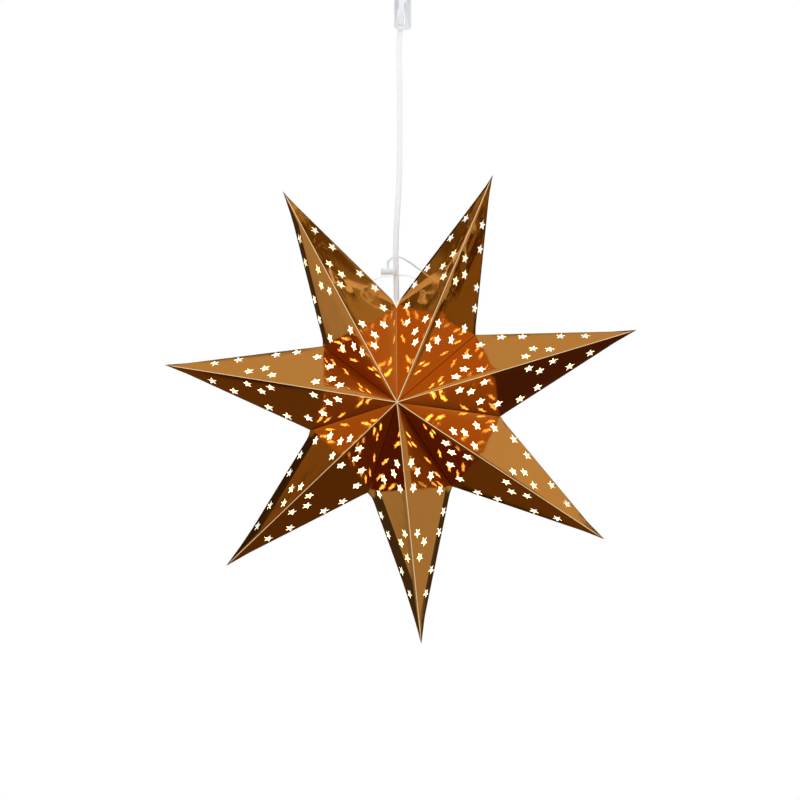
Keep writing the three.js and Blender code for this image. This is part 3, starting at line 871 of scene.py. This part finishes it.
# %% screw thread of the sleeve and of the bulb's cap
THREAD_DEEP = 0.25 * MM
SLEEVE_WALL = 0.35 * MM
CAP_LOW = -483.6 * MM


def rolled(radius, top, bottom, turns):
    """Outline of a wall rolled into round threads, from the top down and drawn as rings."""
    heights = np.linspace(top, bottom, turns * 8 + 1)
    wave = THREAD_DEEP * (np.cos(np.arange(len(heights)) * math.pi / 4) - 1)
    return [(radius + w, z) for w, z in zip(wave, heights)]


outer = rolled(8 * MM, -458.4 * MM, -482 * MM, 7)
inner = [(r - SLEEVE_WALL, z) for r, z in outer][::-1]
piece("threaded_sleeve", *turned(outer + inner, (LAMP_X, 0), 48), brass, "star", "brass", ["screw_sleeve"])
shoulder = [(0, -460.6 * MM), (2.4 * MM, -460.6 * MM), (3.6 * MM, -462.6 * MM)]
cap = shoulder + rolled(7 * MM, -465 * MM, CAP_LOW, 6) + [(0, CAP_LOW)]
piece("threaded_cap", *turned(cap, (LAMP_X, 0), 48), brass, "bulb", "brass", ["bulb_cap"])
print("sleeve and cap,", len(outer), "and", len(cap), "points on their outlines")

# %% [markdown]
# ## Studio
#
# A pale floor well below the star, and an even white surround. Mirror foil shows the room more than it
# shows itself, so the room it mirrors is a soft gradient: light from above and from the sides, dark
# below. That gradient gives each fold one bright and one dark side. The eye sees plain white, and matt
# surfaces are lit by a plain white gradient, so the brown of the room is only in the reflections.

# %% floor
FLOOR_R = 3.0
FLOOR_Z = -2.4
bpy.ops.mesh.primitive_circle_add(vertices=128, radius=FLOOR_R, fill_type="NGON",
                                  location=(0, 0, FLOOR_Z))
floor = bpy.context.active_object
floor.name = "studio_floor"
pale, tree, out = blank("pale matt floor")
place = node(tree, "ShaderNodeTexCoord").outputs["Object"]
cloud = node(tree, "ShaderNodeTexNoise", {"Vector": place, "Scale": 3.0, "Detail": 3.0})
tint = node(tree, "ShaderNodeMix", {"Factor": cloud.outputs["Fac"], "A": linear("#F6F5F2"),
                                    "B": linear("#F1F0EC")}, data_type="RGBA")
shader = node(tree, "ShaderNodeBsdfPrincipled", {"Base Color": tint.outputs["Result"], "Roughness": 0.8})
tree.links.new(shader.outputs[0], out.inputs["Surface"])
floor.data.materials.append(pale)
floor.visible_glossy = False

# %% cloths that only the mirror foil shows
felt, tree, out = blank("mottled studio cloth")
place = node(tree, "ShaderNodeTexCoord").outputs["Object"]
blotch = node(tree, "ShaderNodeTexNoise", {"Vector": place, "Scale": 7.0, "Detail": 1.5})
pick = node(tree, "ShaderNodeMapRange", {"Value": blotch.outputs["Fac"], "From Min": 0.42, "From Max": 0.6})
shade_map = node(tree, "ShaderNodeMix", {"Factor": pick.outputs["Result"], "A": (0.13, 0.09, 0.02, 1),
                                         "B": (0.42, 0.36, 0.25, 1)}, data_type="RGBA")
dyed = node(tree, "ShaderNodeMix", {"Factor": 1.0, "A": shade_map.outputs["Result"],
                                    "B": node(tree, "ShaderNodeObjectInfo").outputs["Color"]},
            data_type="RGBA", blend_type="MULTIPLY")
shader = node(tree, "ShaderNodeBsdfDiffuse", {"Color": dyed.outputs["Result"], "Roughness": 1.0})
tree.links.new(shader.outputs[0], out.inputs["Surface"])
CLOTHS = {"cloth_right": [(0.85, 0.05, -0.62), (0.85, 0.6, -0.62), (0.85, 0.6, -0.22), (0.85, 0.05, -0.22)],
          "cloth_above": [(0.5, 0.15, 0.5), (1.0, 0.15, 0.5), (1.0, 0.7, 0.5), (0.5, 0.7, 0.5)],
          "cloth_left": [(-0.85, 0.1, 0.06), (-0.85, 0.7, 0.06), (-0.85, 0.7, 0.5), (-0.85, 0.1, 0.5)]}
# scene-linear factors on the mottling, one of which brightens it
DYES = {"cloth_right": (0.62, 0.48, 0.22, 1), "cloth_above": (1.1, 1.1, 0.95, 1),
        "cloth_left": (0.9, 0.85, 0.7, 1)}
for name, corners in CLOTHS.items():
    mesh = bpy.data.meshes.new(name)
    mesh.from_pydata(corners, [], [(0, 1, 2, 3)])
    mesh.materials.append(felt)
    cloth = bpy.data.objects.new(name, mesh)
    bpy.context.scene.collection.objects.link(cloth)
    cloth.color = DYES[name]
    cloth.visible_camera = False
    cloth.visible_diffuse = False
    cloth.visible_shadow = False
    cloth.visible_transmission = False

# %% surround
world = bpy.data.worlds.new("studio surround")
bpy.context.scene.world = world
world.use_nodes = True
tree = world.node_tree
tree.nodes.clear()
toward = node(tree, "ShaderNodeTexCoord").outputs["Generated"]
axes = node(tree, "ShaderNodeSeparateXYZ", {"Vector": toward})
height = axes.outputs["Z"]
level = node(tree, "ShaderNodeMapRange", {"Value": height, "From Min": -1.0, "From Max": 1.0})
walls = node(tree, "ShaderNodeValToRGB", {"Fac": level.outputs["Result"]})
ramp = walls.color_ramp
stops = [(0.0, (0.12, 0.07, 0.02)), (0.07, (0.10, 0.055, 0.015)), (0.14, (0.10, 0.055, 0.02)),
         (0.30, (0.42, 0.42, 0.42)), (0.5, (0.48, 0.48, 0.48)), (0.8, (0.60, 0.60, 0.60)),
         (1.0, (0.56, 0.56, 0.56))]
ramp.elements[0].position, ramp.elements[0].color = stops[0][0], stops[0][1] + (1,)
ramp.elements[1].position, ramp.elements[1].color = stops[-1][0], stops[-1][1] + (1,)
for position, colour in stops[1:-1]:
    ramp.elements.new(position).color = colour + (1,)
depth = node(tree, "ShaderNodeMath", {0: axes.outputs["Y"]}, operation="ABSOLUTE")
dimmed = node(tree, "ShaderNodeMapRange", {"Value": depth.outputs["Value"], "From Min": 0.40,
                                           "From Max": 0.52, "To Min": 1.0, "To Max": 0.12},
              interpolation_type="SMOOTHSTEP")
corner = node(tree, "ShaderNodeVectorMath", {0: toward, 1: (-0.80, 0.25, 0.54)}, operation="DOT_PRODUCT")
shade = node(tree, "ShaderNodeMapRange", {"Value": corner.outputs["Value"], "From Min": 0.86,
                                          "From Max": 0.96}, interpolation_type="SMOOTHSTEP")
wood = node(tree, "ShaderNodeMix", {"Factor": shade.outputs["Result"], "A": walls.outputs["Color"],
                                    "B": (0.22, 0.14, 0.05, 1)}, data_type="RGBA")
under = node(tree, "ShaderNodeVectorMath", {0: toward, 1: (-0.42, 0.34, -0.84)}, operation="DOT_PRODUCT")
warm = node(tree, "ShaderNodeMapRange", {"Value": under.outputs["Value"], "From Min": 0.955,
                                         "From Max": 1.0}, interpolation_type="SMOOTHSTEP")
lit = node(tree, "ShaderNodeMix", {"Factor": warm.outputs["Result"], "A": wood.outputs["Result"],
                                   "B": (0.13, 0.075, 0.022, 1)}, data_type="RGBA")
beneath = node(tree, "ShaderNodeVectorMath", {0: toward, 1: (0.57, 0.33, -0.75)}, operation="DOT_PRODUCT")
murk = node(tree, "ShaderNodeMapRange", {"Value": beneath.outputs["Value"], "From Min": 0.965,
                                         "From Max": 0.995}, interpolation_type="SMOOTHSTEP")
murky = node(tree, "ShaderNodeMix", {"Factor": murk.outputs["Result"], "A": lit.outputs["Result"],
                                     "B": (0.06, 0.024, 0.016, 1)}, data_type="RGBA")
mirrored = node(tree, "ShaderNodeVectorMath", {0: murky.outputs["Result"]}, operation="SCALE")
tree.links.new(dimmed.outputs["Result"], mirrored.inputs["Scale"])
path = node(tree, "ShaderNodeLightPath")
diffuse = node(tree, "ShaderNodeMapRange", {"Value": height, "From Min": -1.0, "From Max": 1.0,
                                            "To Min": 0.85, "To Max": 1.25})
room = node(tree, "ShaderNodeMix", {"Factor": path.outputs["Is Glossy Ray"],
                                    "A": diffuse.outputs["Result"],
                                    "B": mirrored.outputs["Vector"]}, data_type="RGBA")
seen = node(tree, "ShaderNodeMix", {"Factor": path.outputs["Is Camera Ray"], "A": room.outputs["Result"],
                                    "B": (1, 1, 1, 1)}, data_type="RGBA")
light = node(tree, "ShaderNodeBackground", {"Color": seen.outputs["Result"], "Strength": 1.0})
tree.links.new(light.outputs[0], node(tree, "ShaderNodeOutputWorld").inputs["Surface"])
bpy.context.scene.view_settings.view_transform = "Standard"
